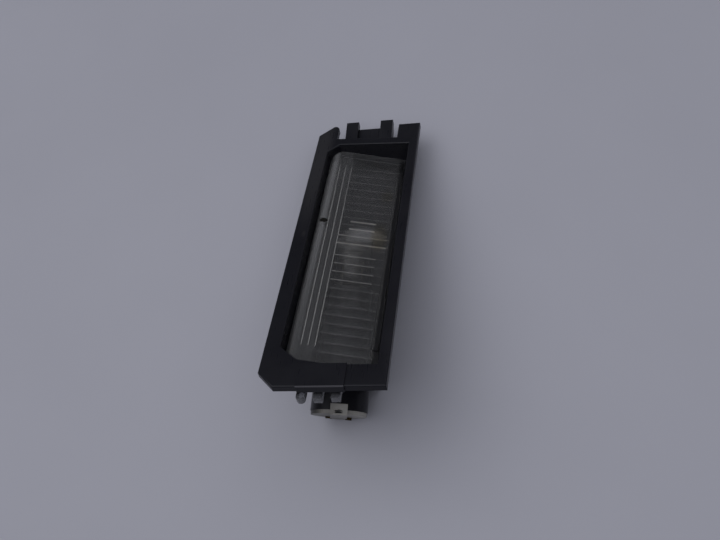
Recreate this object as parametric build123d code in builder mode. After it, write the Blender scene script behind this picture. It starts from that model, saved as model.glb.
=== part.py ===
from build123d import *
import os
from math import cos, radians, sin, tan

# Number plate lamp of a car, lying on its flat back as it rests on a table. X runs across the
# lamp, Y along it towards the snap tongue, and Z is up. All sizes are in millimetres and degrees.

# Lens frame: a flat flange round the lens, which slopes up towards the bulb holder
frame_length = 96.0
frame_width = 30.0
frame_thickness = 1.7
frame_slope = 20.0
frame_height = 23.9  # the middle of its front face over the table
left_bar = 3.9
right_bar = 2.5
near_bar = 6.2
far_bar = 2.9
corner_cut = 4.1  # the two cut corners on the left
tip_reach = 1.1  # how far the left end stands past the right one
tip_round = 1.2
edge_round = 0.35
pad_left = -5.4  # raised pad on the bar at the bulb's end
pad_width = 11.0
pad_height = 0.35

# Body behind the frame
wall = 1.4
far_skew = 4.0  # the far wall runs aslant by this much
near_corner = 5.5  # the near left corner is cut in two steps
near_corner_turn = 40.2
near_ease = 2.53
near_ease_turn = 10.5
far_corner = 3.4
side_draft = 14.0  # the right wall leans in under the lens
near_knee = 7.5  # depth at which the near wall starts to lean in
near_lean = 37.5

# Snap tongue in its notch at the far end
left_arm = 5.7  # what is left of the frame beside the notch
right_arm = 6.3
notch_depth = 5.7
tongue_gap = 2.05
tongue_reach = 3.0  # past the frame's end
tongue_root = 0.6  # how far its root stands out under the bar
ear_width = 3.6
ear_thickness = 2.0
ear_round = 0.6
web_drop = 1.3  # how far the web lies under the ears
web_rise = 1.0
web_thickness = 1.1
web_short = 1.7  # how far it stops short of the ears' tips

# Lens, set in the opening and tilted about its length
lens_depth = 4.0
lens_tilt = 11.3
lens_thickness = 2.4
lens_gap = 0.15
lens_round = 1.8
ledge_width = 1.3
ledge_thickness = 1.2
flute_pitch = 2.95
flute_count = 24
flute_shift = 0.95
flute_depth = 0.3
flute_left = -4.6
flute_right = 8.8
step_pitch = 1.65  # three lengthwise steps beside the flutes
step_count = 3
step_margin = 6.6
step_height = 0.4
rim_width = 1.5  # raised rim along the lens's low side
rim_height = 0.4

# Lens lugs, which pass out through the near wall
lug_left = -5.7
lug_pitch = 4.1
lug_count = 3
lug_width = 2.1
lug_thickness = 1.8
lug_round = 0.9
lug_depth = 5.0
lug_setback = 0.6  # the tips behind the frame's end
lug_leg = 3.6
lug_gap = 0.2

# Bulb socket: a sleeve on the near wall, whose axis dips towards its mouth and turns a little
axis_x = -3.6
axis_dip = 2.5
axis_turn = 2.5
mouth_setback = 2.5  # the holder's outer face behind the frame's end, seen from above
mouth_height = 7.4
mouth_slant = 8.0  # the mouth is cut aslant, as the near wall leans
sleeve_radius = 7.3
sleeve_bore = 5.9
sleeve_length = 26.0

# Bulb holder, plugged into the sleeve and turned a little round its axis
holder_turn = 14.5
disc_radius = 7.1
disc_thickness = 1.0
shank_gap = 0.2
holder_length = 32.7
latch_width = 4.3
latch_thickness = 0.8
latch_length = 2.4
latch_gap = 0.1
strip_height = 0.4
strip_inset = 0.5
window_width = 1.9
window_length = 0.75
window_setback = 0.05  # the latch's window behind the holder's outer face
window_depth = 1.6
seal_place = 4.2  # the seal's middle behind the holder's outer face
seal_width = 1.6
seal_depth = 0.3
seal_gap = 0.02

# Wedge-base bulb
bulb_seat = 8.0  # how deep the wedge sits in the holder's inner end
bulb_length = 26.8
bulb_radius = 5.0
glass_wall = 0.6
shoulder_cut = 2.0
wedge_width = 9.4
wedge_thickness = 2.5
wedge_length = 9.0
wedge_round = 0.8
wedge_gap = 0.2
lead_radius = 0.25
lead_spacing = 5.2
lead_gap = 0.05
lead_bend = 0.5
lead_fold = 5.0  # the folded end under the wedge
filament_radius = 0.4
filament_height = 17.3  # from the bulb's foot

# Contacts, both under the wedge's lower side
contact_width = 1.6
contact_thickness = 0.5
contact_gap = 0.05
contact_start = 1.4  # behind the shank's inner end
contact_jog = 2.0
tail_drop = 3.5  # the tails under the bulb's axis
tail_reach = 0.6

half_width = frame_width / 2
half_length = frame_length / 2
opening_left = left_bar - half_width
opening_right = half_width - right_bar
opening_near = near_bar - half_length
bar_end = half_length - notch_depth
opening_far = bar_end - far_bar
slope = radians(frame_slope)
tilt = radians(lens_tilt)
draft = radians(side_draft)
lean = radians(near_lean)
skew = radians(far_skew)
corner_turn = radians(near_corner_turn)
ease_turn = radians(near_ease_turn)
dip = radians(axis_dip)
yaw = radians(axis_turn)
slant = radians(mouth_slant)
turn = radians(holder_turn)

# The frame's front face: its own axes run across the lamp, along the frame and out of it
front = Plane(origin=(0, 0, frame_height), x_dir=(1, 0, 0), z_dir=(0, sin(slope), cos(slope)))


def wall_face(point, outward):
    """A plane through a point given in the frame's own axes, facing outward in them."""
    direction = front.from_local_coords(outward) - front.origin
    return Plane(origin=front.from_local_coords(point), z_dir=direction)


def side_plane(x):
    """The plane across the lamp at x: its own axes run along the frame and out of its front."""
    return Plane(origin=front.from_local_coords((x, 0, 0)), x_dir=front.y_dir, z_dir=front.x_dir)


far_left = opening_far - opening_left * tan(skew)
walls = [
    wall_face((opening_left, 0, 0), (-1, 0, 0)),
    wall_face((opening_right, 0, 0), (cos(draft), 0, -sin(draft))),
    wall_face((0, opening_near, 0), (0, -1, 0)),
    wall_face((0, opening_near, -near_knee), (0, -cos(lean), -sin(lean))),
    wall_face((0, opening_far, 0), (sin(skew), cos(skew), 0)),
    wall_face((opening_left, opening_near + near_corner, 0), (-sin(corner_turn), -cos(corner_turn), 0)),
    wall_face((opening_left, opening_near + near_ease, 0), (-sin(ease_turn), -cos(ease_turn), 0)),
    wall_face((opening_left, far_left - far_corner, 0), (-1, 1, 0)),
    Plane(origin=(0, 0, wall), z_dir=(0, 0, -1)),
]


def walled_form(inset, top):
    """The lamp's inside, drawn in by inset from its walls and cut off at top over the front."""
    with BuildPart() as form:
        with BuildSketch(front.offset(top)):
            Rectangle(2 * frame_width, 2 * frame_length)
        extrude(amount=-top - 2 * frame_height)
        for face in walls:
            split(bisect_by=face.offset(-inset), keep=Keep.BOTTOM)
    return form.part


# The lens's outer face: its own axes run across the lens, along it and out of it
lens_normal = front.from_local_coords((sin(tilt), 0, cos(tilt))) - front.origin
lens_face = Plane(
    origin=front.from_local_coords((0, 0, -lens_depth)),
    x_dir=front.y_dir.cross(lens_normal),
    z_dir=lens_normal,
)
lens_back = lens_face.offset(-lens_thickness)
lens_axis = Axis(lens_face.origin, lens_face.z_dir)


def socket_plane(down):
    """The plane at the sleeve's mouth that faces out and down by an angle, rolled with the holder."""
    outward = Vector(-sin(yaw) * cos(down), -cos(yaw) * cos(down), -sin(down))
    level = Vector(cos(yaw), -sin(yaw), 0)
    upright = outward.cross(level)
    return Plane(
        origin=(axis_x, mouth_setback - half_length * cos(slope), mouth_height),
        x_dir=level * cos(turn) - upright * sin(turn),
        z_dir=outward,
    )


# Square across the socket's axis, and along the slanting mouth: their own axes run across the
# holder, up it and out of the sleeve
holder_face = socket_plane(dip)
mouth_face = socket_plane(dip + slant)
mouth_reach = sleeve_radius * tan(slant)
foot_place = holder_length - bulb_seat
bulb_foot = holder_face.offset(-foot_place)
bulb_axis = Axis(holder_face.origin, holder_face.z_dir)
shank_section = Plane(holder_face.origin, x_dir=holder_face.x_dir, z_dir=-holder_face.y_dir)
bulb_section = Plane(bulb_foot.origin, x_dir=holder_face.x_dir, z_dir=holder_face.y_dir)


def edge_plane(base, x):
    """The plane along the bulb's axis at x: its own axes run out of the sleeve and up."""
    return Plane(base.from_local_coords((x, 0, 0)), x_dir=base.z_dir, z_dir=-base.x_dir)


os.makedirs("parts", exist_ok=True)

# Lens: a clear moulding between two tilted planes, with flutes and steps on its back
flute_radius = (flute_pitch**2 / 4 + flute_depth**2) / (2 * flute_depth)
flute_plane = Plane(
    origin=lens_back.from_local_coords((flute_left, 0, 0)),
    x_dir=lens_back.y_dir,
    z_dir=lens_back.x_dir,
)
step_length = opening_far - opening_near - 2 * step_margin
step_plane = Plane(
    origin=lens_back.from_local_coords((0, -step_length / 2, 0)),
    x_dir=lens_back.x_dir,
    z_dir=-lens_back.y_dir,
)
step_middle = flute_left - step_pitch * (step_count - 1) / 2
lug_places = [lug_left + i * lug_pitch for i in range(lug_count)]
lug_end = lug_setback - half_length
lug_floor = -lug_depth - lug_thickness
near_edge = opening_near + lens_gap
leg_edge = near_edge + lug_leg
lens_blank = walled_form(lens_gap, lens_depth)

with BuildPart() as lens:
    add(lens_blank)
    split(bisect_by=lens_face, keep=Keep.BOTTOM)
    split(bisect_by=lens_back, keep=Keep.TOP)
    high_edge = lens.faces().sort_by(lens_axis)[-1].edges().sort_by(Axis.X)[0]
    fillet(high_edge, lens_round)
    with BuildSketch(flute_plane):
        with Locations((flute_shift, flute_depth - flute_radius)):
            with GridLocations(flute_pitch, 0, flute_count, 1):
                Circle(flute_radius)
    extrude(amount=flute_right - flute_left, mode=Mode.SUBTRACT)
    with BuildSketch(step_plane):
        with Locations((step_middle, 0)):
            with GridLocations(step_pitch, 0, step_count, 1):
                Rectangle(step_height, step_height, rotation=45)
    extrude(amount=-step_length)
    with BuildSketch(lens_face):
        with Locations((flute_right, 0)):
            Rectangle(rim_width, step_length, align=(Align.MIN, Align.CENTER))
    extrude(amount=rim_height)
    for x in lug_places:
        with BuildSketch(front.offset(-lug_depth)) as lug:
            with Locations((x, leg_edge)):
                Rectangle(lug_width, leg_edge - lug_end, align=(Align.CENTER, Align.MAX))
            fillet(lug.vertices().group_by(Axis.Y)[0], lug_round)
        extrude(amount=-lug_thickness)
        with BuildSketch(side_plane(x)):
            with BuildLine():
                leg_top = -lens_depth - x * tan(tilt) - lens_thickness / 2
                Polyline(
                    (near_edge, leg_top),
                    (leg_edge, leg_top),
                    (leg_edge, lug_floor),
                    (near_edge, lug_floor),
                    close=True,
                )
            make_face()
        extrude(amount=lug_width / 2, both=True)
lens.part.label = "lens"
export_step(lens.part, "parts/lens.step")

# Housing: one black moulding of frame, body, sleeve and snap tongue
outside = walled_form(-wall, -frame_thickness / 2)
inside = walled_form(0, frame_thickness)
ledge_hole = walled_form(ledge_width, frame_thickness)

with BuildPart() as ledge:
    add(inside)
    split(bisect_by=lens_back, keep=Keep.BOTTOM)
    split(bisect_by=lens_back.offset(-ledge_thickness), keep=Keep.TOP)
    add(ledge_hole, mode=Mode.SUBTRACT)

with BuildPart() as sleeve:
    with BuildSketch(holder_face.offset(mouth_reach)):
        Circle(sleeve_radius)
    extrude(amount=-mouth_reach - sleeve_length)
    split(bisect_by=mouth_face.offset(-disc_thickness), keep=Keep.BOTTOM)

front_axis = Axis(front.origin, front.z_dir)
left_end = half_length + tip_reach
notch_left = left_arm - half_width
notch_right = half_width - right_arm
tongue_left = notch_left + tongue_gap
tongue_width = notch_right - notch_left - 2 * tongue_gap
bar_left = bar_end - notch_left * tan(skew)
bar_right = bar_end - notch_right * tan(skew)
ear_tip = half_length + tongue_reach
ear_places = [tongue_left, tongue_left + tongue_width - ear_width]
root_start = opening_far + wall / 2
root_end = bar_left + tongue_root
root_top = -frame_thickness
root_floor = root_top - ear_thickness - web_drop
web_end = ear_tip - web_short
web_floor = root_top - web_drop

with BuildPart() as housing:
    with BuildSketch(front) as frame_outline:
        with BuildLine():
            Polyline(
                (-half_width, corner_cut - half_length),
                (corner_cut - half_width, -half_length),
                (half_width, -half_length),
                (half_width, half_length),
                (notch_right, half_length),
                (notch_right, bar_right),
                (notch_left, bar_left),
                (notch_left, left_end),
                (corner_cut - half_width, left_end),
                (-half_width, left_end - corner_cut),
                close=True,
            )
        make_face()
        fillet(frame_outline.vertices().group_by(Axis.Y)[-1].sort_by(Axis.X)[-1], tip_round)
    extrude(amount=-frame_thickness)
    add(inside, mode=Mode.SUBTRACT)
    fillet(housing.faces().sort_by(front_axis)[-1].edges(), edge_round)
    with BuildSketch(front.offset(pad_height)):
        with Locations((pad_left, opening_near)):
            Rectangle(pad_width, near_bar + pad_height, align=(Align.MIN, Align.MAX))
    extrude(amount=-pad_height - frame_thickness)
    add(outside)
    add(sleeve.part)
    add(inside, mode=Mode.SUBTRACT)
    add(sleeve.part)
    with BuildSketch(holder_face.offset(mouth_reach)):
        Circle(sleeve_bore)
    extrude(amount=-mouth_reach - sleeve_length, mode=Mode.SUBTRACT)
    add(ledge.part)
    for x in lug_places:
        with BuildSketch(side_plane(x)):
            with BuildLine():
                slot_top = -lens_depth - x * tan(tilt)
                Polyline(
                    (opening_near, slot_top),
                    (leg_edge + lug_gap, slot_top),
                    (leg_edge + lug_gap, lug_floor - lug_gap),
                    (lug_end, lug_floor - lug_gap),
                    (lug_end, lug_gap - lug_depth),
                    (opening_near, lug_gap - lug_depth),
                    close=True,
                )
            make_face()
        extrude(amount=lug_width / 2 + lug_gap, both=True, mode=Mode.SUBTRACT)
    with BuildSketch(side_plane(tongue_left)):
        with BuildLine():
            Polyline(
                (root_start, root_top),
                (root_end, root_top),
                (root_end, web_floor),
                (web_end, web_floor + web_rise),
                (web_end, web_floor + web_rise - web_thickness),
                (root_start, root_floor),
                close=True,
            )
        make_face()
    extrude(amount=tongue_width)
    for x in ear_places:
        with BuildSketch(side_plane(x)) as ear:
            with BuildLine():
                Polyline(
                    (root_start, root_top),
                    (root_end, root_top),
                    (ear_tip, 0),
                    (ear_tip, -ear_thickness),
                    (root_start, root_floor),
                    close=True,
                )
            make_face()
            fillet(ear.vertices().group_by(Axis.X)[-1], ear_round)
        extrude(amount=ear_width)
housing.part.label = "housing"
export_step(housing.part, "parts/housing.step")

# Bulb holder: a grey moulding with a latch over the sleeve and a wedge socket at its inner end
shank_radius = sleeve_bore - shank_gap
seal_inner = shank_radius - seal_depth
seal_start = seal_place - seal_width / 2
socket_floor = foot_place - lead_bend - lead_radius - lead_gap
strip_top = sleeve_radius / cos(slant) + latch_gap + latch_thickness
fold_drop = wedge_thickness / 2 + lead_gap + lead_radius
contact_drop = fold_drop + lead_radius + contact_gap + contact_thickness / 2
contact_floor = contact_drop + contact_thickness / 2 + contact_gap
contact_places = [-lead_spacing / 2, lead_spacing / 2]
tail_end = tail_reach - tail_drop * tan(slant)


def contact_form(x, gap):
    """A contact strip at x, or with a gap its pocket: beside the wedge, a jog, and the tail."""
    with BuildPart() as form:
        with BuildSketch(edge_plane(holder_face, x)):
            with BuildLine() as run:
                Polyline(
                    (contact_start - holder_length, -contact_drop),
                    (-foot_place, -contact_drop),
                    (contact_jog - foot_place, -tail_drop),
                    (tail_end, -tail_drop),
                )
            trace(run.line, line_width=contact_thickness + 2 * gap)
        extrude(amount=contact_width / 2 + gap, both=True)
    return form.part


with BuildPart() as bulb_holder:
    with BuildSketch(shank_section):
        with BuildLine():
            Polyline(
                (0, mouth_reach),
                (shank_radius, mouth_reach),
                (shank_radius, -seal_start),
                (seal_inner, -seal_start),
                (seal_inner, -seal_start - seal_width),
                (shank_radius, -seal_start - seal_width),
                (shank_radius, -holder_length),
                (0, -holder_length),
                close=True,
            )
        make_face()
    revolve(axis=bulb_axis)
    split(bisect_by=mouth_face, keep=Keep.BOTTOM)
    with BuildSketch(mouth_face):
        Circle(disc_radius)
    extrude(amount=-disc_thickness)
    with BuildSketch(mouth_face):
        with Locations((0, strip_top)):
            strip_length = strip_top + disc_radius - strip_inset
            Rectangle(latch_width, strip_length, align=(Align.CENTER, Align.MAX))
    extrude(amount=strip_height)
    with BuildSketch(mouth_face):
        with Locations((0, strip_top)):
            Rectangle(latch_width, latch_thickness, align=(Align.CENTER, Align.MAX))
    extrude(amount=-latch_length)
    with BuildSketch(edge_plane(mouth_face, 0)):
        with Locations((-window_setback, strip_top)):
            Rectangle(window_length, window_depth, align=(Align.MAX, Align.MAX))
    extrude(amount=window_width / 2, both=True, mode=Mode.SUBTRACT)
    with BuildSketch(holder_face.offset(-holder_length)):
        Rectangle(wedge_width + 2 * wedge_gap, wedge_thickness + 2 * wedge_gap)
        with Locations((contact_places[0], 0), (contact_places[1], 0)):
            Rectangle(contact_width + 2 * contact_gap, contact_floor, align=(Align.CENTER, Align.MAX))
    extrude(amount=holder_length - socket_floor, mode=Mode.SUBTRACT)
    for x in contact_places:
        add(contact_form(x, contact_gap), mode=Mode.SUBTRACT)
bulb_holder.part.label = "bulb_holder"
export_step(bulb_holder.part, "parts/bulb_holder.step")

# Seal: a rubber band in the shank's groove, which fills the sleeve's bore
with BuildPart() as holder_seal:
    with BuildSketch(holder_face.offset(-seal_start)):
        Circle(sleeve_bore - seal_gap)
        Circle(seal_inner + seal_gap, mode=Mode.SUBTRACT)
    extrude(amount=-seal_width + seal_gap)
holder_seal.part.label = "holder_seal"
export_step(holder_seal.part, "parts/holder_seal.step")

# Contacts: two stamped brass strips, which run from the wedge to tails outside the disc
contact_left = contact_form(contact_places[0], 0)
contact_left.label = "contact_left"
export_step(contact_left, "parts/contact_left.step")
contact_right = contact_form(contact_places[1], 0)
contact_right.label = "contact_right"
export_step(contact_right, "parts/contact_right.step")


def envelope(inset):
    """The bulb's round envelope over its wedge, drawn in by inset."""
    radius = bulb_radius - inset
    top = bulb_length - inset
    floor = wedge_length + inset
    with BuildPart() as form:
        with BuildSketch(bulb_section) as half:
            with BuildLine():
                Polyline((0, top), (0, floor), (radius, floor), (radius, top - radius))
                CenterArc((0, top - radius), radius, 0, 90)
            make_face()
            chamfer(half.vertices().group_by(Axis.Y)[0].sort_by(Axis.X)[-1], shoulder_cut - inset / 2)
        revolve(axis=bulb_axis)
    return form.part


# Bulb glass: a clear envelope pinched to a wedge, with the two leads through its foot
glass_outside = envelope(0)
glass_inside = envelope(glass_wall)

with BuildPart() as bulb_glass:
    with BuildSketch(bulb_foot):
        RectangleRounded(wedge_width, wedge_thickness, wedge_round)
    extrude(amount=-wedge_length - glass_wall)
    add(glass_outside)
    add(glass_inside, mode=Mode.SUBTRACT)
    with BuildSketch(bulb_foot):
        with Locations((contact_places[0], 0), (contact_places[1], 0)):
            Circle(lead_radius + lead_gap)
    extrude(amount=-wedge_length - 2 * glass_wall, mode=Mode.SUBTRACT)
bulb_glass.part.label = "bulb_glass"
export_step(bulb_glass.part, "parts/bulb_glass.step")


def lead_form(x):
    """A lead wire at x: from the filament out through the foot and folded back under the wedge."""
    with BuildPart() as form:
        with BuildLine(edge_plane(bulb_foot, x)) as run:
            Polyline(
                (-filament_height, 0),
                (lead_bend, 0),
                (lead_bend, -fold_drop),
                (-lead_fold, -fold_drop),
            )
        with BuildSketch(bulb_foot.offset(-filament_height)):
            with Locations((x, 0)):
                Circle(lead_radius)
        sweep(path=run.line, transition=Transition.RIGHT)
    return form.part


# Lead wires
lead_left = lead_form(contact_places[0])
lead_left.label = "lead_left"
export_step(lead_left, "parts/lead_left.step")
lead_right = lead_form(contact_places[1])
lead_right.label = "lead_right"
export_step(lead_right, "parts/lead_right.step")

# Filament: a straight coil across the bulb on the leads' ends
with BuildPart() as filament:
    with BuildSketch(edge_plane(bulb_foot.offset(-filament_height - filament_radius), 0)):
        Circle(filament_radius)
    extrude(amount=lead_spacing / 2 + lead_radius, both=True)
filament.part.label = "filament"
export_step(filament.part, "parts/filament.step")
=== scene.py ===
import math
import bmesh
import bpy
from mathutils import Matrix, Vector


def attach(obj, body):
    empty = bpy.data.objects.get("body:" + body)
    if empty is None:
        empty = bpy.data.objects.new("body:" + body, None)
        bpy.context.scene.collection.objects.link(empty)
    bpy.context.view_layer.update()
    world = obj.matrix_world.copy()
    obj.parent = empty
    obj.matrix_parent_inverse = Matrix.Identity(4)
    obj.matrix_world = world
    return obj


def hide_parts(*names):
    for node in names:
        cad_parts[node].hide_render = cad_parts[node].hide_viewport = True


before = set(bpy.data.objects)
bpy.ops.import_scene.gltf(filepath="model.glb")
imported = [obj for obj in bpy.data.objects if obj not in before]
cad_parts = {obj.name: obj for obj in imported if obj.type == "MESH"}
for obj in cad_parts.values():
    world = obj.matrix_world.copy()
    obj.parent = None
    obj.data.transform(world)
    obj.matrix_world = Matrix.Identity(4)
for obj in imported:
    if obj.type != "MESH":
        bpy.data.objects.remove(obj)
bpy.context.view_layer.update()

# Housing: the lamp's body, one black ABS injection moulding of sloping frame, deep body, bulb sleeve
# and snap tongue. The tool was spark eroded, so the skin is satin; handling has rubbed its rim
# smoother, and a little dust lies on what faces up.
MM = 0.001
frame_slope = math.radians(20)
frame_height = 23.9


def paint(code):
    """An sRGB hex colour as linear RGBA."""
    parts = [int(code[i:i + 2], 16) / 255 for i in (1, 3, 5)]
    return [c / 12.92 if c <= 0.04045 else ((c + 0.055) / 1.055) ** 2.4 for c in parts] + [1.0]


def add_node(tree, kind, inputs=(), out=0, **settings):
    """Adds a node with its settings and links, and gives one of its outputs."""
    node = tree.nodes.new(kind)
    for key, value in settings.items():
        setattr(node, key, value)
    for key, value in dict(inputs).items():
        if isinstance(value, bpy.types.NodeSocket):
            tree.links.new(value, node.inputs[key])
        else:
            node.inputs[key].default_value = value
    return node.outputs[out] if node.outputs else None


def new_material(name):
    """A material with an empty tree, and places in it in millimetres along the sloping frame's axes."""
    material = bpy.data.materials.new(name)
    material.use_nodes = True
    tree = material.node_tree
    tree.nodes.clear()
    place = add_node(tree, "ShaderNodeMapping", {
        "Vector": add_node(tree, "ShaderNodeTexCoord", out="Object"),
        "Scale": (1 / MM,) * 3, "Rotation": (frame_slope, 0, 0),
        "Location": (0, math.sin(frame_slope) * frame_height, -math.cos(frame_slope) * frame_height)})
    return material, tree, place


def oval_mark(tree, place, centre, radii, soft, strength):
    """A soft oval mark on a surface: its strength inside, nothing outside."""
    off = add_node(tree, "ShaderNodeVectorMath", {0: place, 1: centre}, operation="SUBTRACT")
    span = add_node(tree, "ShaderNodeVectorMath", {0: off, 1: radii}, operation="DIVIDE")
    far = add_node(tree, "ShaderNodeVectorMath", {0: span}, out="Value", operation="LENGTH")
    return add_node(tree, "ShaderNodeMapRange", {
        "Value": far, "From Min": 1 - soft, "From Max": 1 + soft, "To Min": strength, "To Max": 0.0,
    }, interpolation_type="SMOOTHSTEP")


def band_mark(tree, value, middle, half, soft, strength):
    """A soft band along one axis: its strength inside, nothing outside."""
    off = add_node(tree, "ShaderNodeMath", {0: value, 1: middle}, operation="SUBTRACT")
    far = add_node(tree, "ShaderNodeMath", {0: off}, operation="ABSOLUTE")
    return add_node(tree, "ShaderNodeMapRange", {
        "Value": far, "From Min": half - soft, "From Max": half + soft, "To Min": strength, "To Max": 0.0,
    }, interpolation_type="SMOOTHSTEP")


def moulded_copy(node_name, name, edge_mm):
    """A merged copy of a solid's mesh, with its sharp edges rounded as its tool leaves them."""
    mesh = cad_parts[node_name].data.copy()
    shape = bmesh.new()
    shape.from_mesh(mesh)
    bmesh.ops.remove_doubles(shape, verts=shape.verts, dist=0.002 * MM)
    bmesh.ops.dissolve_limit(
        shape, angle_limit=math.radians(0.4), verts=shape.verts, edges=shape.edges)
    shape.to_mesh(mesh)
    shape.free()
    piece = bpy.data.objects.new(name, mesh)
    bpy.context.collection.objects.link(piece)
    mesh.shade_smooth()
    mesh.set_sharp_from_angle(angle=math.radians(32))
    if edge_mm:
        edge = piece.modifiers.new("edge", "BEVEL")
        edge.width = edge_mm * MM
        edge.segments = 2
        edge.limit_method = "ANGLE"
        edge.angle_limit = math.radians(35)
        edge.miter_outer = "MITER_ARC"
        edge.harden_normals = True
    return piece


def finish_piece(piece, material, node_name):
    """Gives a piece its material and its body, and hides the solid that it stands for."""
    piece.data.materials.clear()
    piece.data.materials.append(material)
    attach(piece, "root")
    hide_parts(node_name)


# Black ABS: nearly black, with a satin skin that only shows its grain in a raking light
black_abs, tree, place = new_material("black_abs_eroded_tool")
# Spark grain is about 0.05 mm; it is drawn at 0.25 mm so that it shows at all
grain = add_node(tree, "ShaderNodeTexNoise", {
    "Vector": place, "Scale": 1 / 0.25, "Detail": 3.0, "Roughness": 0.6})
cloud = add_node(tree, "ShaderNodeTexNoise", {
    "Vector": place, "Scale": 1 / 13, "Detail": 5.0, "Roughness": 0.62})
# Wiping has left fine marks, about 0.35 mm wide and 5 mm long, that shine a little more
hairline_place = add_node(tree, "ShaderNodeMapping", {
    "Vector": place, "Scale": (1 / 0.35, 1 / 5.0, 1 / 0.8), "Rotation": (0, 0, 0.4)})
hairline = add_node(tree, "ShaderNodeTexNoise", {
    "Vector": hairline_place, "Scale": 1.0, "Detail": 2.0, "Roughness": 0.5})
facing = add_node(tree, "ShaderNodeMapping", {
    "Vector": add_node(tree, "ShaderNodeNewGeometry", out="Normal"), "Rotation": (frame_slope, 0, 0),
}, vector_type="VECTOR")
facing = add_node(tree, "ShaderNodeSeparateXYZ", {"Vector": facing}, out="Z")
# Hands have rubbed the rounded rim between the frame's front face and its sides
place_axes = add_node(tree, "ShaderNodeSeparateXYZ", {"Vector": place}).node.outputs
on_rim = add_node(tree, "ShaderNodeMapRange", {
    "Value": facing, "From Min": 0.93, "From Max": 0.99, "To Min": 1.0, "To Max": 0.0})
near_front = add_node(tree, "ShaderNodeMapRange", {
    "Value": place_axes["Z"], "From Min": -0.9, "From Max": -0.4})
turned_up = add_node(tree, "ShaderNodeMapRange", {"Value": facing, "From Min": 0.1, "From Max": 0.4})
rubbed = add_node(tree, "ShaderNodeMapRange", {
    "Value": cloud, "From Min": 0.35, "From Max": 0.6, "To Min": 0.35, "To Max": 1.0})
for share in (on_rim, near_front, turned_up):
    rubbed = add_node(tree, "ShaderNodeMath", {0: rubbed, 1: share}, operation="MULTIPLY")
dust_and_sheen = add_node(tree, "ShaderNodeMapRange", {
    "Value": cloud, "From Min": 0.4, "From Max": 0.72, "To Min": 0.0, "To Max": 0.012})
dust_and_sheen = add_node(tree, "ShaderNodeMath", {0: dust_and_sheen, 1: turned_up}, operation="MULTIPLY")
# The far left bar is painted lighter along its length, a painted sheen, and a small scuff marks that bar's
# middle
far_left_sheen = oval_mark(tree, place, (-13.0, 32.0, 0), (2.6, 22.0, 1.5), 0.6, 0.1)
dust_and_sheen = add_node(tree, "ShaderNodeMath", {0: dust_and_sheen, 1: far_left_sheen}, operation="MAXIMUM")
scuff = oval_mark(tree, place, (-12.2, 2.0, 0), (0.5, 1.0, 1.0), 0.5, 0.12)
# Dust and the painted sheen lighten the skin alike
skin = add_node(tree, "ShaderNodeMix", {
    "Factor": dust_and_sheen, "A": paint("#17171c"), "B": paint("#7a7876")}, out="Result", data_type="RGBA")
skin = add_node(tree, "ShaderNodeMix", {
    "Factor": rubbed, "A": skin, "B": paint("#1e1f23")}, out="Result", data_type="RGBA")
skin = add_node(tree, "ShaderNodeMix", {
    "Factor": scuff, "A": skin, "B": paint("#55524d")}, out="Result", data_type="RGBA")
# A grey highlight is painted along the pad's near edge
pad_edge_highlight = 0.75
for axis, middle, half in (("X", 0.1, 5.6), ("Y", -48.3, 0.22), ("Z", 0.3, 0.22)):
    within = band_mark(tree, place_axes[axis], middle, half, 0.08, 1.0)
    pad_edge_highlight = add_node(tree, "ShaderNodeMath", {0: pad_edge_highlight, 1: within}, operation="MULTIPLY")
skin = add_node(tree, "ShaderNodeMix", {
    "Factor": pad_edge_highlight, "A": skin, "B": paint("#5c5b5e")}, out="Result", data_type="RGBA")
satin = add_node(tree, "ShaderNodeMapRange", {
    "Value": cloud, "From Min": 0.3, "From Max": 0.7, "To Min": 0.27, "To Max": 0.37})
smoother = add_node(tree, "ShaderNodeMapRange", {
    "Value": hairline, "From Min": 0.62, "From Max": 0.7, "To Min": 0.0, "To Max": 0.07})
satin = add_node(tree, "ShaderNodeMath", {0: satin, 1: smoother}, operation="SUBTRACT")
satin = add_node(tree, "ShaderNodeMath", {0: rubbed, 1: -0.1, 2: satin}, operation="MULTIPLY_ADD")
relief = add_node(tree, "ShaderNodeBump", {"Height": grain, "Strength": 0.3, "Distance": 0.02 * MM})
shader = add_node(tree, "ShaderNodeBsdfPrincipled", {
    "Base Color": skin, "Roughness": satin, "Normal": relief, "IOR": 1.5,
    "Specular IOR Level": 0.22})
add_node(tree, "ShaderNodeOutputMaterial", {"Surface": shader})

housing = moulded_copy("housing", "housing_shell", edge_mm=0.15)
finish_piece(housing, black_abs, "housing")

# Lens: one clear polycarbonate injection moulding, tilted in the frame and held by it all round.
# Its back has cross flutes that spread the light, its left side rolls over and carries three
# lengthwise prism ribs, and three lugs reach out through the body's end wall.
lens_depth = 4.0
lens_fall = math.tan(math.radians(11.3))
lens_left = -10.95
roll_radius = 1.8
roll_x = lens_left + roll_radius
roll_z = -lens_depth - lens_fall * roll_x - roll_radius / math.cos(math.atan(lens_fall))
plate_middle = 1.2  # below the outer face
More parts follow.
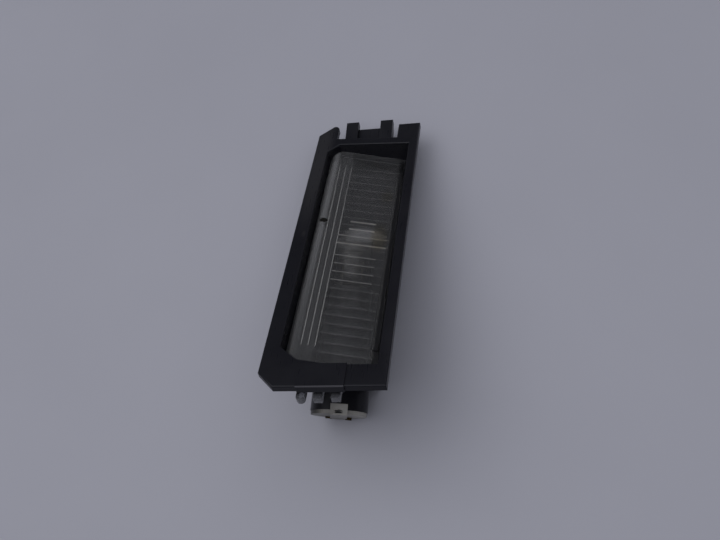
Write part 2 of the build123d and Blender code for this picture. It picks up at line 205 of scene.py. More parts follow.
# The plate's mesh has columns and rows, placed so that the ribs and the flutes' crests lie on them
columns = 96
rows = 360
column = 0.275
flute_pitch = 2.95
flute_skew = 0.045
row = flute_pitch / 12
flute_shift = 4 * row
plate_sizes = {
    "Width": columns * column, "Length": rows * row, "Columns": columns + 1, "Rows": rows + 1,
    "Lift": -lens_depth, "Fall": -lens_fall, "Thickness": 2.45,
    "Roll X": roll_x, "Roll Z": roll_z, "Roll Radius": roll_radius,
    "Roll End": roll_x + roll_radius * math.sin(math.atan(lens_fall)),
    "Flute Pitch": flute_pitch, "Flute Depth": 0.05, "Flute Shift": flute_shift,
    "Flute Reach": 12 * flute_pitch, "Flute Left": -15 * column, "Flute Right": 32 * column,
    "Flute Runout": 0.5, "Flute Skew": -flute_skew,
    "Rib Pitch": 6 * column, "Rib First": -29 * column, "Rib Half": 0.15,
    "Column": column, "Rib Height": 0.15, "Rib Reach": 34.0, "Rib Middle": 1.0,
    "Rim Middle": 35.5 * column, "Rim Half": 2.5 * column, "Rim Height": 0.3,
}


def new_tree(name, inputs):
    """A geometry tree with its inputs' names and kinds, and the sockets that give their values."""
    tree = bpy.data.node_groups.new(name, "GeometryNodeTree")
    tree.interface.new_socket("Geometry", in_out="OUTPUT", socket_type="NodeSocketGeometry")
    for label, kind in inputs.items():
        tree.interface.new_socket(label, in_out="INPUT", socket_type="NodeSocket" + kind)
    return tree, add_node(tree, "NodeGroupInput").node.outputs


def end_tree(tree, geometry, material):
    """Ends a geometry tree with a plain mesh of one material."""
    real = add_node(tree, "GeometryNodeRealizeInstances", {"Geometry": geometry})
    dressed = add_node(tree, "GeometryNodeSetMaterial", {"Geometry": real, "Material": material})
    add_node(tree, "NodeGroupOutput", {"Geometry": dressed})


plate_inputs = {
    label: "Int" if isinstance(size, int) else "Float" for label, size in plate_sizes.items()}
plate, sizes = new_tree("fluted_lens_plate", {**plate_inputs, "Material": "Material"})
block_size = add_node(plate, "ShaderNodeCombineXYZ", {"X": sizes["Width"], "Y": sizes["Length"], "Z": 1.0})
block = add_node(plate, "GeometryNodeMeshCube", {
    "Size": block_size, "Vertices X": sizes["Columns"], "Vertices Y": sizes["Rows"], "Vertices Z": 2})
axes = add_node(plate, "ShaderNodeSeparateXYZ", {
    "Vector": add_node(plate, "GeometryNodeInputPosition")}).node.outputs
across, along = axes["X"], axes["Y"]
in_length = add_node(plate, "ShaderNodeMath", {
    0: along, 1: sizes["Rib Middle"], 2: sizes["Rib Reach"]}, operation="COMPARE")
# Three ribs run along the back beside the roll: the columns next to a rib's ridge are its feet
from_first = add_node(plate, "ShaderNodeMath", {0: across, 1: sizes["Rib First"]}, operation="SUBTRACT")
nearest = add_node(plate, "ShaderNodeMath", {0: from_first, 1: sizes["Rib Pitch"]}, operation="DIVIDE")
nearest = add_node(plate, "ShaderNodeMath", {0: nearest}, operation="ROUND")
nearest = add_node(plate, "ShaderNodeMath", {0: nearest, 1: 0.0}, operation="MAXIMUM")
nearest = add_node(plate, "ShaderNodeMath", {0: nearest, 1: 2.0}, operation="MINIMUM")
nearest = add_node(plate, "ShaderNodeMath", {0: nearest, 1: sizes["Rib Pitch"]}, operation="MULTIPLY")
rib_off = add_node(plate, "ShaderNodeMath", {0: from_first, 1: nearest}, operation="SUBTRACT")
far_off = add_node(plate, "ShaderNodeMath", {0: rib_off}, operation="ABSOLUTE")
ribs = add_node(plate, "ShaderNodeMath", {0: far_off, 1: 0.0, 2: 0.01}, operation="COMPARE")
ribs = add_node(plate, "ShaderNodeMath", {0: ribs, 1: sizes["Rib Height"]}, operation="MULTIPLY")
ribs = add_node(plate, "ShaderNodeMath", {0: ribs, 1: in_length}, operation="MULTIPLY")
at_foot = add_node(plate, "ShaderNodeMath", {0: far_off, 1: sizes["Column"], 2: 0.01}, operation="COMPARE")
foot_x = add_node(plate, "ShaderNodeMath", {0: sizes["Rib Half"], 1: sizes["Column"]}, operation="DIVIDE")
drawn_in = add_node(plate, "ShaderNodeMath", {0: 1.0, 1: foot_x}, operation="SUBTRACT")
drawn_in = add_node(plate, "ShaderNodeMath", {0: drawn_in, 1: at_foot}, operation="MULTIPLY")
drawn_in = add_node(plate, "ShaderNodeMath", {0: drawn_in, 1: rib_off}, operation="MULTIPLY")
across = add_node(plate, "ShaderNodeMath", {0: across, 1: drawn_in}, operation="SUBTRACT")
# The outer face falls to the right, rolls over on the left and has a low rim on the right
flat = add_node(plate, "ShaderNodeMath", {
    0: across, 1: sizes["Fall"], 2: sizes["Lift"]}, operation="MULTIPLY_ADD")
from_roll = add_node(plate, "ShaderNodeMath", {0: across, 1: sizes["Roll X"]}, operation="SUBTRACT")
share = add_node(plate, "ShaderNodeMath", {0: from_roll, 1: sizes["Roll Radius"]}, operation="DIVIDE")
share = add_node(plate, "ShaderNodeMath", {0: share, 1: -1.0}, operation="MAXIMUM")
share = add_node(plate, "ShaderNodeMath", {0: share, 1: 1.0}, operation="MINIMUM")
lean = add_node(plate, "ShaderNodeMath", {0: share}, operation="ARCSINE")
rise = add_node(plate, "ShaderNodeMath", {0: lean}, operation="COSINE")
rolled = add_node(plate, "ShaderNodeMath", {
    0: rise, 1: sizes["Roll Radius"], 2: sizes["Roll Z"]}, operation="MULTIPLY_ADD")
in_roll = add_node(plate, "ShaderNodeMath", {0: across, 1: sizes["Roll End"]}, operation="LESS_THAN")
outer = add_node(plate, "ShaderNodeMix", {"Factor": in_roll, "A": flat, "B": rolled})
in_rim = add_node(plate, "ShaderNodeMath", {
    0: across, 1: sizes["Rim Middle"], 2: sizes["Rim Half"]}, operation="COMPARE")
in_rim = add_node(plate, "ShaderNodeMath", {0: in_rim, 1: in_length}, operation="MULTIPLY")
outer = add_node(plate, "ShaderNodeMath", {
    0: in_rim, 1: sizes["Rim Height"], 2: outer}, operation="MULTIPLY_ADD")
# The back carries hollow flutes across the lens, which run out at both sides
from_shift = add_node(plate, "ShaderNodeMath", {0: along, 1: sizes["Flute Shift"]}, operation="SUBTRACT")
swing = add_node(plate, "ShaderNodeMath", {0: from_shift, 1: sizes["Flute Pitch"]}, operation="DIVIDE")
swing = add_node(plate, "ShaderNodeMath", {0: swing}, operation="FRACT")
swing = add_node(plate, "ShaderNodeMath", {0: swing, 1: 2.0, 2: -1.0}, operation="MULTIPLY_ADD")
hollow = add_node(plate, "ShaderNodeMath", {0: swing, 1: swing}, operation="MULTIPLY")
hollow = add_node(plate, "ShaderNodeMath", {0: 1.0, 1: hollow}, operation="SUBTRACT")
from_left = add_node(plate, "ShaderNodeMath", {0: across, 1: sizes["Flute Left"]}, operation="SUBTRACT")
from_right = add_node(plate, "ShaderNodeMath", {0: sizes["Flute Right"], 1: across}, operation="SUBTRACT")
inside = add_node(plate, "ShaderNodeMath", {0: from_left, 1: from_right}, operation="MINIMUM")
run_out = add_node(plate, "ShaderNodeMapRange", {
    "Value": inside, "From Min": 0.0, "From Max": sizes["Flute Runout"]})
in_reach = add_node(plate, "ShaderNodeMath", {
    0: from_shift, 1: 0.0, 2: sizes["Flute Reach"]}, operation="COMPARE")
flutes = add_node(plate, "ShaderNodeMath", {0: hollow, 1: sizes["Flute Depth"]}, operation="MULTIPLY")
for limit in (run_out, in_reach):
    flutes = add_node(plate, "ShaderNodeMath", {0: flutes, 1: limit}, operation="MULTIPLY")
inner = add_node(plate, "ShaderNodeMath", {0: flat, 1: sizes["Thickness"]}, operation="SUBTRACT")
inner = add_node(plate, "ShaderNodeMath", {0: inner, 1: flutes}, operation="ADD")
inner = add_node(plate, "ShaderNodeMath", {0: inner, 1: ribs}, operation="SUBTRACT")
on_top = add_node(plate, "ShaderNodeMath", {0: axes["Z"], 1: 0.0}, operation="GREATER_THAN")
level = add_node(plate, "ShaderNodeMix", {"Factor": on_top, "A": inner, "B": outer})
# The rows lean a little, as the lens sits in the frame
leaning = add_node(plate, "ShaderNodeMath", {
    0: across, 1: sizes["Flute Skew"], 2: along}, operation="MULTIPLY_ADD")
target = add_node(plate, "ShaderNodeCombineXYZ", {"X": across, "Y": leaning, "Z": level})
shaped = add_node(plate, "GeometryNodeSetPosition", {"Geometry": block, "Position": target})
end_tree(plate, shaped, sizes["Material"])

# Clear polycarbonate: sharp reflections under a thin film of road dirt, which greys what lies behind
clear_pc, tree, place = new_material("clear_polycarbonate_moulded")
haze = add_node(tree, "ShaderNodeTexNoise", {
    "Vector": place, "Scale": 1 / 8, "Detail": 6.0, "Roughness": 0.68})
speck = add_node(tree, "ShaderNodeTexNoise", {
    "Vector": place, "Scale": 1 / 0.5, "Detail": 2.0, "Roughness": 0.5})
# The film is thin and uneven, and ends at the rim on the plate's right
place_axes = add_node(tree, "ShaderNodeSeparateXYZ", {"Vector": place}).node.outputs
film = add_node(tree, "ShaderNodeMapRange", {
    "Value": haze, "From Min": 0.3, "From Max": 0.75, "To Min": 0.036, "To Max": 0.055})
film = add_node(tree, "ShaderNodeMath", {
    0: film, 1: band_mark(tree, place_axes["X"], -1.0, 10.3, 0.3, 1.0)}, operation="MULTIPLY")
# The film is thickened in bands: where the plate rolls over at its left it is painted light, a highlight
# along the roll's outer edge and a lighter band across the roll, less so at the near end; it is also
# thickened between the ribs, and in a trace right of the rim
for middle, half, share, near_share in (
        (-10.6, 0.3, 0.07, 0.06), (-8.95, 0.95, 0.08, 0.03), (-8.75, 0.5, 0.08, 0.02),
        (-6.2, 2.0, 0.025, 0.025), (11.0, 1.6, 0.006, 0.006)):
    film_band = band_mark(tree, place_axes["X"], middle, half, 0.2, 1.0)
    fade = add_node(tree, "ShaderNodeMapRange", {
        "Value": place_axes["Y"], "From Min": -30.0, "From Max": 5.0,
        "To Min": near_share, "To Max": share})
    film = add_node(tree, "ShaderNodeMath", {0: film_band, 1: fade, 2: film}, operation="MULTIPLY_ADD")
# Pale lines are painted along the flutes on the plate's back as painted highlights: glints along the
# crests, and bright streaks over the bulb's tip. Each set has its distance from the crests, its lines'
# half width, the middle and half of its reach across and along the plate, and its strength
along_rows = add_node(tree, "ShaderNodeMath", {
    0: place_axes["X"], 1: flute_skew, 2: place_axes["Y"]}, operation="MULTIPLY_ADD")
painted_glints = 0.0
for offset, thick, (x, half_x), (y, half_y), strength in (
        (0.0, 0.3, (2.2, 6.6), (0.0, 36.0), 0.2),
        (0.0, 0.3, (0.9, 5.2), (-6.5, 6.6), 0.4),
        (1.6, 0.5, (2.0, 6.6), (4.1, 2.2), 0.65),
        (1.4, 1.2, (2.0, 6.6), (2.6, 1.3), 0.16),
        (1.35, 0.55, (1.35, 3.45), (9.6, 2.2), 0.8)):
    to_line = add_node(tree, "ShaderNodeMath", {
        0: along_rows, 1: flute_shift + offset}, operation="SUBTRACT")
    to_line = add_node(tree, "ShaderNodeMath", {0: to_line, 1: flute_pitch / 2}, operation="PINGPONG")
    line = add_node(tree, "ShaderNodeMapRange", {
        "Value": to_line, "From Min": 0.05, "From Max": thick, "To Min": strength, "To Max": 0.0},
        interpolation_type="SMOOTHSTEP")
    for limit in (band_mark(tree, place_axes["X"], x, half_x, 0.3, 1.0),
                  band_mark(tree, along_rows, y, half_y, 0.3, 1.0)):
        line = add_node(tree, "ShaderNodeMath", {0: line, 1: limit}, operation="MULTIPLY")
    painted_glints = add_node(tree, "ShaderNodeMath", {0: painted_glints, 1: line}, operation="ADD")
depth = add_node(tree, "ShaderNodeVectorMath", {
    0: place, 1: (lens_fall, 0, 1)}, out="Value", operation="DOT_PRODUCT")
at_back = add_node(tree, "ShaderNodeMath", {
    0: depth, 1: -lens_depth - plate_middle}, operation="LESS_THAN")
painted_glints = add_node(tree, "ShaderNodeMath", {0: painted_glints, 1: at_back}, operation="MULTIPLY")
film = add_node(tree, "ShaderNodeMath", {0: film, 1: painted_glints}, operation="ADD")
# A spot of dirt beside the roll, a pale patch of painted light over the bulb's tip, two stains from its
# heat, and a pale fleck
dirt = oval_mark(tree, place, (-8.6, 9.7, -2.2), (0.9, 0.65, 3.0), 0.35, 1.0)
painted_glow = oval_mark(tree, place, (2.6, 5.4, -6.5), (5.6, 3.1, 4.0), 0.35, 0.16)
stain = oval_mark(tree, place, (7.1, 21.5, -5.4), (1.4, 2.2, 2.0), 0.8, 0.045)
scorch = oval_mark(tree, place, (6.6, 5.0, -5.5), (1.9, 4.6, 2.5), 0.5, 0.06)
fleck = oval_mark(tree, place, (3.2, -17.4, -4.6), (0.3, 0.3, 1.0), 0.6, 0.2)
for mark in (dirt, painted_glow, stain, scorch, fleck):
    film = add_node(tree, "ShaderNodeMath", {0: film, 1: mark}, operation="MAXIMUM")
# Sun has greyed the lugs, which stand out in the open, and clouded their tips most
greyed = add_node(tree, "ShaderNodeMapRange", {
    "Value": place_axes["Y"], "From Min": -42.2, "From Max": -43.2})
clouded = add_node(tree, "ShaderNodeMapRange", {
    "Value": place_axes["Y"], "From Min": -46.0, "From Max": -46.6})
for mark, strength in ((greyed, 0.07), (clouded, 0.13)):
    film = add_node(tree, "ShaderNodeMath", {0: mark, 1: strength, 2: film}, operation="MULTIPLY_ADD")
clear = add_node(tree, "ShaderNodeMath", {0: 1.0, 1: film}, operation="SUBTRACT")
# Heat has browned the plate beside the bulb's tip and beyond it
browned = add_node(tree, "ShaderNodeMath", {0: scorch, 1: stain}, operation="MAXIMUM")
browned = add_node(tree, "ShaderNodeMapRange", {"Value": browned, "From Min": 0.0, "From Max": 0.05})
tint = add_node(tree, "ShaderNodeMix", {
    "Factor": browned, "A": paint("#cfcfce"), "B": paint("#bcb6a6")}, out="Result", data_type="RGBA")
for mark, colour in ((greyed, "#77787d"), (clouded, "#b9babe")):
    tint = add_node(tree, "ShaderNodeMix", {
        "Factor": mark, "A": tint, "B": paint(colour)}, out="Result", data_type="RGBA")
# The painted highlights turn the tint pale
tint = add_node(tree, "ShaderNodeMix", {
    "Factor": painted_glints, "A": tint, "B": paint("#f0e9de")}, out="Result", data_type="RGBA")
dark = add_node(tree, "ShaderNodeMapRange", {"Value": dirt, "From Min": 0.0, "From Max": 0.1})
tint = add_node(tree, "ShaderNodeMix", {
    "Factor": dark, "A": tint, "B": paint("#14120d")}, out="Result", data_type="RGBA")
# The plate's far edge face, which stands against the black housing, is painted dark and kept from passing
# light: painted shade
facing = add_node(tree, "ShaderNodeMapping", {
    "Vector": add_node(tree, "ShaderNodeNewGeometry", out="True Normal"), "Rotation": (frame_slope, 0, 0),
}, vector_type="VECTOR")
facing = add_node(tree, "ShaderNodeSeparateXYZ", {"Vector": facing}, out="Y")
far_edge_shade = add_node(tree, "ShaderNodeMapRange", {"Value": facing, "From Min": 0.5, "From Max": 0.7})
clear = add_node(tree, "ShaderNodeMath", {0: clear, 1: far_edge_shade}, operation="SUBTRACT", use_clamp=True)
tint = add_node(tree, "ShaderNodeMix", {
    "Factor": far_edge_shade, "A": tint, "B": paint("#1c1b19")}, out="Result", data_type="RGBA")
gloss = add_node(tree, "ShaderNodeMapRange", {
    "Value": haze, "From Min": 0.3, "From Max": 0.7, "To Min": 0.0, "To Max": 0.03})
relief = add_node(tree, "ShaderNodeBump", {"Height": speck, "Strength": 0.04, "Distance": 0.02 * MM})
shader = add_node(tree, "ShaderNodeBsdfPrincipled", {
    "Base Color": tint, "Roughness": gloss, "Normal": relief, "Transmission Weight": clear, "IOR": 1.585})
add_node(tree, "ShaderNodeOutputMaterial", {"Surface": shader})


def node_piece(name, group, values, mesh=None):
    """A piece made by a node tree, turned into the plain mesh that the tree makes."""
    piece = bpy.data.objects.new(name, mesh or bpy.data.meshes.new(name))
    bpy.context.collection.objects.link(piece)
    modifier = piece.modifiers.new(name, "NODES")
    modifier.node_group = group
    for item in group.interface.items_tree:
        if item.in_out == "INPUT" and item.name in values:
            modifier[item.identifier] = values[item.name]
    graph = bpy.context.evaluated_depsgraph_get()
    made = bpy.data.meshes.new_from_object(piece.evaluated_get(graph))
    bpy.data.objects.remove(piece)
    piece = bpy.data.objects.new(name, made)
    bpy.context.collection.objects.link(piece)
    return piece


lens = node_piece("lens_moulding", plate, {**plate_sizes, "Material": clear_pc})
shape = bmesh.new()
shape.from_mesh(lens.data)
# The plate is cut to the opening: each cut has a point and an outward direction in the frame's axes
draft = math.radians(14)
skew = math.radians(4)
lens_right = 12.35
near_end = -41.65
far_end = 39.25
near_corner = -36.1
near_corner_foot = -39.1
far_corner = 36.6
cuts = [
    ((lens_left, 0, 0), (-1, 0, 0)),
    ((lens_right, 0, 0), (math.cos(draft), 0, -math.sin(draft))),
    ((0, near_end, 0), (0, -1, 0)),
    ((0, far_end, 0), (math.sin(skew), math.cos(skew), 0)),
    ((lens_left, near_corner, 0), (-0.645, -0.764, 0)),
    ((lens_left, near_corner_foot, 0), (-0.182, -0.983, 0)),
    ((lens_left, far_corner, 0), (-1, 1, 0)),
]
for point, outward in cuts:
    every = list(shape.verts) + list(shape.edges) + list(shape.faces)
    bmesh.ops.bisect_plane(
        shape, geom=every, plane_co=point, plane_no=outward, clear_outer=True, dist=1e-5)
    bmesh.ops.holes_fill(shape, edges=[edge for edge in shape.edges if edge.is_boundary], sides=0)
# The lugs are flat fingers with round ends, on short legs under the plate's near edge
lug_half = 1.05
lug_top = -5.0
lug_floor = -6.8
leg_back = -38.05
leg_front = -41.6
tip_round = 0.95
lug_edge = 0.18
for lug_x, lug_tip in ((-5.7, -47.8), (-1.6, -47.6), (2.5, -47.4)):
    leg_top = -lens_depth - lens_fall * lug_x - plate_middle
    profile = [
        (leg_front, leg_top), (leg_back, leg_top), (leg_back, lug_floor),
        (lug_tip, lug_floor), (lug_tip, lug_top), (leg_front, lug_top)]
    flanks = (lug_x - lug_half, lug_x + lug_half)
    finger = bmesh.new()
    sides = [[finger.verts.new((x, y, z)) for y, z in profile] for x in flanks]
    for i in range(len(profile)):
        j = (i + 1) % len(profile)
        finger.faces.new((sides[0][i], sides[0][j], sides[1][j], sides[1][i]))
    finger.faces.new(sides[0][::-1])
    finger.faces.new(sides[1])
    bmesh.ops.recalc_face_normals(finger, faces=finger.faces)
    tips = [e for e in finger.edges if all(abs(v.co.y - lug_tip) < 1e-6 for v in e.verts)
            and abs(e.verts[0].co.z - e.verts[1].co.z) > 0.1]
    bmesh.ops.bevel(finger, geom=tips, offset=tip_round, segments=7, affect="EDGES", profile=0.5)
    ends = [e for e in finger.edges if not e.is_boundary and len(e.link_faces) == 2
            and e.calc_face_angle() > math.radians(50)]
    bmesh.ops.bevel(finger, geom=ends, offset=lug_edge, segments=2, affect="EDGES", profile=0.5)
    part = bpy.data.meshes.new("lug")
    finger.to_mesh(part)
    finger.free()
    shape.from_mesh(part)
    bpy.data.meshes.remove(part)
to_row = (Matrix.Translation((0, 0, frame_height * MM)) @ Matrix.Rotation(-frame_slope, 4, "X")
          @ Matrix.Scale(MM, 4))
bmesh.ops.transform(shape, matrix=to_row, verts=shape.verts)
bmesh.ops.recalc_face_normals(shape, faces=shape.faces)
shape.to_mesh(lens.data)
shape.free()
lens.data.shade_smooth()
lens.data.set_sharp_from_angle(angle=math.radians(24))
finish_piece(lens, clear_pc, "lens")

# Bulb holder: a grey nylon plug, injection moulded, that pushes into the sleeve and snaps in with
# its latch. Its inner end is the socket for the bulb's wedge, and its disc closes the sleeve.
# Moulded nylon is a dull, slightly uneven grey with a soft gloss.
grey_nylon, tree, place = new_material("grey_nylon_moulded")
mottle = add_node(tree, "ShaderNodeTexNoise", {
    "Vector": place, "Scale": 1 / 3.5, "Detail": 6.0, "Roughness": 0.7})
grain = add_node(tree, "ShaderNodeTexNoise", {
    "Vector": place, "Scale": 1 / 0.25, "Detail": 2.0, "Roughness": 0.5})
share = add_node(tree, "ShaderNodeMapRange", {"Value": mottle, "From Min": 0.3, "From Max": 0.7})
tone = add_node(tree, "ShaderNodeMix", {
    "Factor": share, "A": paint("#6b6862"), "B": paint("#8b8881")}, out="Result", data_type="RGBA")
# Its right side is painted paler than its left: painted light
place_axes = add_node(tree, "ShaderNodeSeparateXYZ", {"Vector": place}).node.outputs
painted_right_light = add_node(tree, "ShaderNodeMapRange", {
    "Value": place_axes["X"], "From Min": -5.0, "From Max": 2.5, "To Min": 0.0, "To Max": 0.85})
tone = add_node(tree, "ShaderNodeMix", {
    "Factor": painted_right_light, "A": tone, "B": paint("#b0ada5")}, out="Result", data_type="RGBA")
# Its inner end, deep in the sleeve, is painted dark: painted shade
inner_end_shade = add_node(tree, "ShaderNodeMapRange", {
    "Value": place_axes["Y"], "From Min": -34.0, "From Max": -22.0})
tone = add_node(tree, "ShaderNodeMix", {
    "Factor": inner_end_shade, "A": tone, "B": paint("#191613")}, out="Result", data_type="RGBA")
# The faces turned to the left, on the disc's left edge, are painted dark: painted shade
edge_on = add_node(tree, "ShaderNodeSeparateXYZ", {
    "Vector": add_node(tree, "ShaderNodeNewGeometry", out="True Normal")}, out="X")
left_faces_shade = add_node(tree, "ShaderNodeMapRange", {
    "Value": edge_on, "From Min": -0.35, "From Max": -0.65, "To Min": 0.0, "To Max": 0.9})
tone = add_node(tree, "ShaderNodeMix", {
    "Factor": left_faces_shade, "A": tone, "B": paint("#1f1d1a")}, out="Result", data_type="RGBA")
# A dark window is painted on the latch where its opening shows shade: painted shade
window_shade = oval_mark(tree, place, (-1.8, -37.75, -23.75), (1.15, 0.75, 1.05), 0.15, 1.0)
tone = add_node(tree, "ShaderNodeMix", {
    "Factor": window_shade, "A": tone, "B": paint("#14120f")}, out="Result", data_type="RGBA")
gloss = add_node(tree, "ShaderNodeMapRange", {
    "Value": mottle, "From Min": 0.3, "From Max": 0.7, "To Min": 0.4, "To Max": 0.55})
relief = add_node(tree, "ShaderNodeBump", {"Height": grain, "Strength": 0.25, "Distance": 0.02 * MM})
shader = add_node(tree, "ShaderNodeBsdfPrincipled", {
    "Base Color": tone, "Roughness": gloss, "Normal": relief, "IOR": 1.53})
add_node(tree, "ShaderNodeOutputMaterial", {"Surface": shader})
holder = moulded_copy("bulb_holder", "holder_plug", edge_mm=0.12)
finish_piece(holder, grey_nylon, "bulb_holder")

# Seal: a black EPDM rubber band, moulded, stretched into the plug's groove against the sleeve.
# Rubber is dull, with a bloom that greys it unevenly.
black_rubber, tree, place = new_material("black_epdm_moulded")
bloom = add_node(tree, "ShaderNodeTexNoise", {
    "Vector": place, "Scale": 1 / 1.5, "Detail": 5.0, "Roughness": 0.7})
share = add_node(tree, "ShaderNodeMapRange", {"Value": bloom, "From Min": 0.4, "From Max": 0.8})
tone = add_node(tree, "ShaderNodeMix", {
    "Factor": share, "A": paint("#131314"), "B": paint("#2b2b2b")}, out="Result", data_type="RGBA")
dull = add_node(tree, "ShaderNodeMapRange", {
    "Value": bloom, "From Min": 0.3, "From Max": 0.7, "To Min": 0.65, "To Max": 0.85})
relief = add_node(tree, "ShaderNodeBump", {"Height": bloom, "Strength": 0.2, "Distance": 0.05 * MM})
shader = add_node(tree, "ShaderNodeBsdfPrincipled", {
    "Base Color": tone, "Roughness": dull, "Normal": relief, "IOR": 1.5})
add_node(tree, "ShaderNodeOutputMaterial", {"Surface": shader})
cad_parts["holder_seal"].material_slots[0].material = black_rubber

# Contacts: two brass strips, stamped and bent, pressed into the plug. The tails that the car's lead
# clips to stand out under the disc and have tarnished dark brown.
brass, tree, place = new_material("tarnished_brass_stamped")
tarnish = add_node(tree, "ShaderNodeTexNoise", {
    "Vector": place, "Scale": 1 / 0.9, "Detail": 6.0, "Roughness": 0.7})
share = add_node(tree, "ShaderNodeMapRange", {"Value": tarnish, "From Min": 0.35, "From Max": 0.7})
tone = add_node(tree, "ShaderNodeMix", {
    "Factor": share, "A": paint("#4a3e28"), "B": paint("#211d17")}, out="Result", data_type="RGBA")
dull = add_node(tree, "ShaderNodeMapRange", {
    "Value": tarnish, "From Min": 0.3, "From Max": 0.7, "To Min": 0.38, "To Max": 0.62})
relief = add_node(tree, "ShaderNodeBump", {"Height": tarnish, "Strength": 0.15, "Distance": 0.03 * MM})
shader = add_node(tree, "ShaderNodeBsdfPrincipled", {
    "Base Color": tone, "Roughness": dull, "Normal": relief, "Metallic": 1.0})
add_node(tree, "ShaderNodeOutputMaterial", {"Surface": shader})
for side in ("left", "right"):
    strip = moulded_copy("contact_" + side, "contact_strip_" + side, edge_mm=0.06)
    finish_piece(strip, brass, "contact_" + side)

# Bulb: a drawn soda glass tube, domed at its tip and pinched flat at its foot round the two leads.
# Metal boiled off the filament has left a pale film in the dome, which veils what is behind it.
soda_glass, tree, place = new_material("soda_glass_drawn")
smoke = add_node(tree, "ShaderNodeTexNoise", {
    "Vector": place, "Scale": 1 / 2.5, "Detail": 4.0, "Roughness": 0.6})
along_bulb = add_node(tree, "ShaderNodeSeparateXYZ", {"Vector": place}, out="Y")
smoked = add_node(tree, "ShaderNodeMapRange", {
    "Value": along_bulb, "From Min": 3.0, "From Max": 9.0, "To Min": 0.035, "To Max": 0.16},
    interpolation_type="SMOOTHSTEP")
patchy = add_node(tree, "ShaderNodeMapRange", {
    "Value": smoke, "From Min": 0.25, "From Max": 0.75, "To Min": 0.7, "To Max": 1.0})
smoked = add_node(tree, "ShaderNodeMath", {0: smoked, 1: patchy}, operation="MULTIPLY")
clear = add_node(tree, "ShaderNodeMath", {0: 1.0, 1: smoked}, operation="SUBTRACT")
tint = add_node(tree, "ShaderNodeMix", {
    "Factor": smoke, "A": paint("#efede8"), "B": paint("#d3cfc6")}, out="Result", data_type="RGBA")
gloss = add_node(tree, "ShaderNodeMapRange", {
    "Value": smoke, "From Min": 0.3, "From Max": 0.7, "To Min": 0.02, "To Max": 0.1})
shader = add_node(tree, "ShaderNodeBsdfPrincipled", {
    "Base Color": tint, "Roughness": gloss, "Transmission Weight": clear, "IOR": 1.52})
add_node(tree, "ShaderNodeOutputMaterial", {"Surface": shader})
bulb = moulded_copy("bulb_glass", "bulb_envelope", edge_mm=0)
finish_piece(bulb, soda_glass, "bulb_glass")

# Leads: two nickel-plated iron wires, drawn, sealed in the pinched foot, bent round under it to
# meet the contacts, and clamped to the filament at their tips.
dip = math.radians(2.5)
yaw = math.radians(2.5)
roll = math.radians(14.5)
frame_length = 96.0
mouth_x = -3.6
mouth_setback = 2.5  # the holder's outer face behind the frame's end
mouth_height = 7.4
mouth = Vector((mouth_x, mouth_setback - frame_length / 2 * math.cos(frame_slope), mouth_height))
inward = Vector((math.sin(yaw) * math.cos(dip), math.cos(yaw) * math.cos(dip), math.sin(dip)))
level = Vector((math.cos(yaw), -math.sin(yaw), 0))
sideways = level * math.cos(roll) - level.cross(inward) * math.sin(roll)
upward = sideways.cross(inward).normalized()
holder_length = 32.7
bulb_seat = 8.0  # how deep the bulb's foot sits in the holder's inner end
foot = holder_length - bulb_seat
filament_height = 17.3  # from the bulb's foot
filament_place = foot + filament_height
wedge_thickness = 2.5
lead_radius = 0.25
lead_half = 2.6  # half the distance between the leads
lead_gap = 0.05
lead_drop = 0.5  # out of the foot's end
lead_fold = 5.0  # back along the foot's underside
bend_radius = 0.4
fold_drop = wedge_thickness / 2 + lead_gap + lead_radius

wire, sizes = new_tree("bent_round_wire", {
    "Route": "Geometry", "Radius": "Float", "Bend": "Float", "Sides": "Int", "Material": "Material"})
line = add_node(wire, "GeometryNodeMeshToCurve", {"Mesh": sizes["Route"]})
bent = add_node(wire, "GeometryNodeFilletCurve", {
    "Curve": line, "Radius": sizes["Bend"], "Count": 6, "Limit Radius": True}, mode="POLY")
ring = add_node(wire, "GeometryNodeCurvePrimitiveCircle", {
    "Resolution": sizes["Sides"], "Radius": sizes["Radius"]}, out="Curve")
drawn = add_node(wire, "GeometryNodeCurveToMesh", {
    "Curve": bent, "Profile Curve": ring, "Fill Caps": True})
end_tree(wire, drawn, sizes["Material"])

# Nickel plate: a bright warm grey, dulled by heat
plated, tree, place = new_material("nickel_plated_wire_drawn")
draw_lines = add_node(tree, "ShaderNodeTexNoise", {
    "Vector": place, "Scale": 1 / 0.4, "Detail": 3.0, "Roughness": 0.6})
tone = add_node(tree, "ShaderNodeMix", {
    "Factor": draw_lines, "A": paint("#a7a39a"), "B": paint("#77736b")}, out="Result", data_type="RGBA")
dull = add_node(tree, "ShaderNodeMapRange", {
    "Value": draw_lines, "From Min": 0.3, "From Max": 0.7, "To Min": 0.22, "To Max": 0.42})
shader = add_node(tree, "ShaderNodeBsdfPrincipled", {
    "Base Color": tone, "Roughness": dull, "Metallic": 1.0})
add_node(tree, "ShaderNodeOutputMaterial", {"Surface": shader})


def on_bulb(side, deep, up):
    """A point by its distance to the side, into the sleeve and up from the bulb's axis, in metres."""
    return (mouth + sideways * side + inward * deep + upward * up) * MM


for side, lead_x in (("left", -lead_half), ("right", lead_half)):
    route = [
        on_bulb(lead_x, filament_place, 0), on_bulb(lead_x, foot - lead_drop, 0),
        on_bulb(lead_x, foot - lead_drop, -fold_drop), on_bulb(lead_x, foot + lead_fold, -fold_drop)]
    path = bpy.data.meshes.new("route")
    path.from_pydata(route, [(0, 1), (1, 2), (2, 3)], [])
    lead = node_piece("lead_wire_" + side, wire, {
        "Radius": lead_radius * MM, "Bend": bend_radius * MM, "Sides": 12, "Material": plated}, path)
    lead.data.shade_smooth()
    lead.data.set_sharp_from_angle(angle=math.radians(40))
    finish_piece(lead, plated, "lead_" + side)

